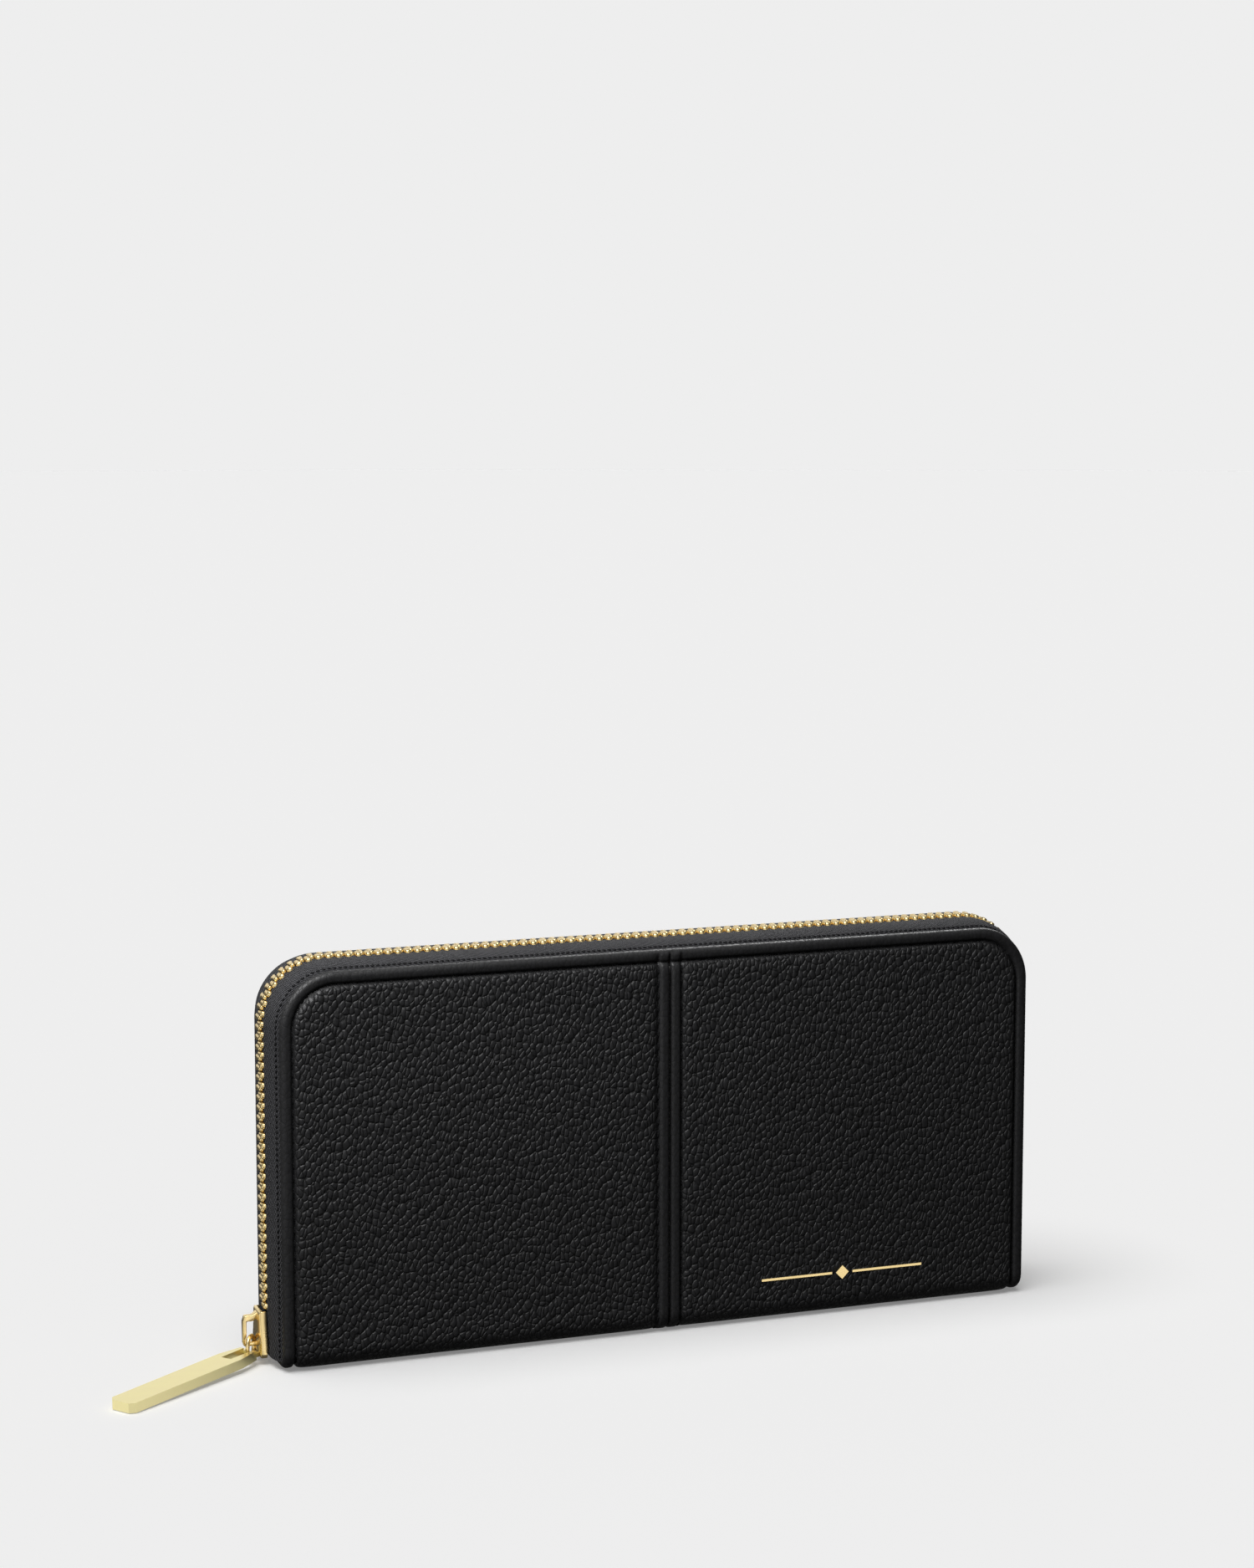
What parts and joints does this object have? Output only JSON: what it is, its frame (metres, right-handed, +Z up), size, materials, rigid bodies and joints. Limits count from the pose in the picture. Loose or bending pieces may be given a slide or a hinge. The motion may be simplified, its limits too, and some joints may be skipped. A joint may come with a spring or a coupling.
{
  "type": "zip around wallet",
  "caption": "Long zip around wallet of pebbled black leather with a metal zip, a flat bar pull, fan-opening covers, card slots and a zipped coin pocket.",
  "frame": {"origin": "middle of the spine, on the surface that the wallet stands on", "axes": "+X along the wallet to the end where the zip starts, -Y out of the front cover, +Z up from the spine"},
  "size_m": [0.247, 0.0433, 0.1003],
  "materials": {
    "leather": "pebbled, semi-matte",
    "slot_leather": "fine grained, semi-matte",
    "lining": "woven, matte",
    "board": "plain pressed board",
    "foam": "matte",
    "zip_tape": "woven, matte",
    "zip_metal": "polished, plated",
    "pull_metal": "satin, plated",
    "foil": "pressed metal foil"
  },
  "bodies": {
    "core": {"spine_leather_left": "leather", "spine_leather_right": "leather", "spine_board": "board", "spine_lining": "lining", "coin_pocket_front_wall": "lining", "coin_pocket_rear_wall": "lining", "coin_pocket_left_end": "lining", "coin_pocket_right_end": "lining", "coin_pocket_floor": "lining", "coin_zip_tape_front": "zip_tape", "coin_zip_tape_rear": "zip_tape", "coin_teeth_front": "zip_metal", "coin_teeth_rear": "zip_metal", "coin_zip_stops": "zip_metal", "gusset_front_left": "lining", "gusset_front_right": "lining", "gusset_rear_left": "lining", "gusset_rear_right": "lining", "zip_end_tab": "leather", "zip_bottom_stop": "zip_metal"},
    "front_cover": {"front_leather_left": "leather", "front_leather_right": "leather", "front_foam": "foam", "front_board": "board", "front_lining": "lining", "front_card_slot_1": "slot_leather", "front_card_slot_2": "slot_leather", "front_card_slot_3": "slot_leather", "front_card_slot_4": "slot_leather", "front_zip_tape": "zip_tape", "front_teeth": "zip_metal", "front_top_stop": "zip_metal", "foil_mark": "foil"},
    "rear_cover": {"rear_leather_left": "leather", "rear_leather_right": "leather", "rear_foam": "foam", "rear_board": "board", "rear_lining": "lining", "rear_card_slot_1": "slot_leather", "rear_card_slot_2": "slot_leather", "rear_card_slot_3": "slot_leather", "rear_card_slot_4": "slot_leather", "rear_zip_tape": "zip_tape", "rear_teeth": "zip_metal", "rear_top_stop": "zip_metal"},
    "slider": {"slider_body": "zip_metal", "slider_bail": "zip_metal"},
    "link": {"pull_link": "zip_metal"},
    "pull": {"pull_bar": "pull_metal"},
    "coin_slider": {"coin_slider_body": "zip_metal", "coin_slider_bail": "zip_metal"},
    "coin_pull": {"coin_pull": "zip_metal"}
  },
  "joints": [
    {"name": "front_cover_open", "type": "hinge", "parent": "core", "child": "front_cover", "pos_m": [0, -0.0135, 0.00485], "axis": [1, 0, 0], "range_deg": [0, 24], "deforming": ["gusset_front_left", "gusset_front_right"]},
    {"name": "rear_cover_open", "type": "hinge", "parent": "core", "child": "rear_cover", "pos_m": [0, 0.0135, 0.00485], "axis": [-1, 0, 0], "range_deg": [0, 24], "deforming": ["gusset_rear_left", "gusset_rear_right"]},
    {"name": "slider_travel", "type": "slide", "parent": "rear_cover", "child": "slider", "axis": [0, 0, 1], "range_m": [0, 0.062], "deforming": ["front_teeth", "rear_teeth"]},
    {"name": "link_swing", "type": "hinge", "parent": "slider", "child": "link", "pos_m": [-0.1048, 0, 0.0045], "axis": [1, 0, 0], "range_deg": [-15, 60]},
    {"name": "pull_swing", "type": "hinge", "parent": "link", "child": "pull", "pos_m": [-0.10535, -0.00095, 0.004], "axis": [-0.866, 0.5, 0], "range_deg": [-10, 60]},
    {"name": "coin_slider_travel", "type": "slide", "parent": "core", "child": "coin_slider", "axis": [1, 0, 0], "range_m": [0, 0.14], "deforming": ["coin_teeth_front", "coin_teeth_rear"]},
    {"name": "coin_pull_swing", "type": "hinge", "parent": "coin_slider", "child": "coin_pull", "pos_m": [-0.07075, 0, 0.07945], "axis": [0, 1, 0], "range_deg": [0, 150]}
  ],
  "couplings": [
    {"joint": "rear_cover_open", "follows": "front_cover_open", "ratio": 1}
  ]
}
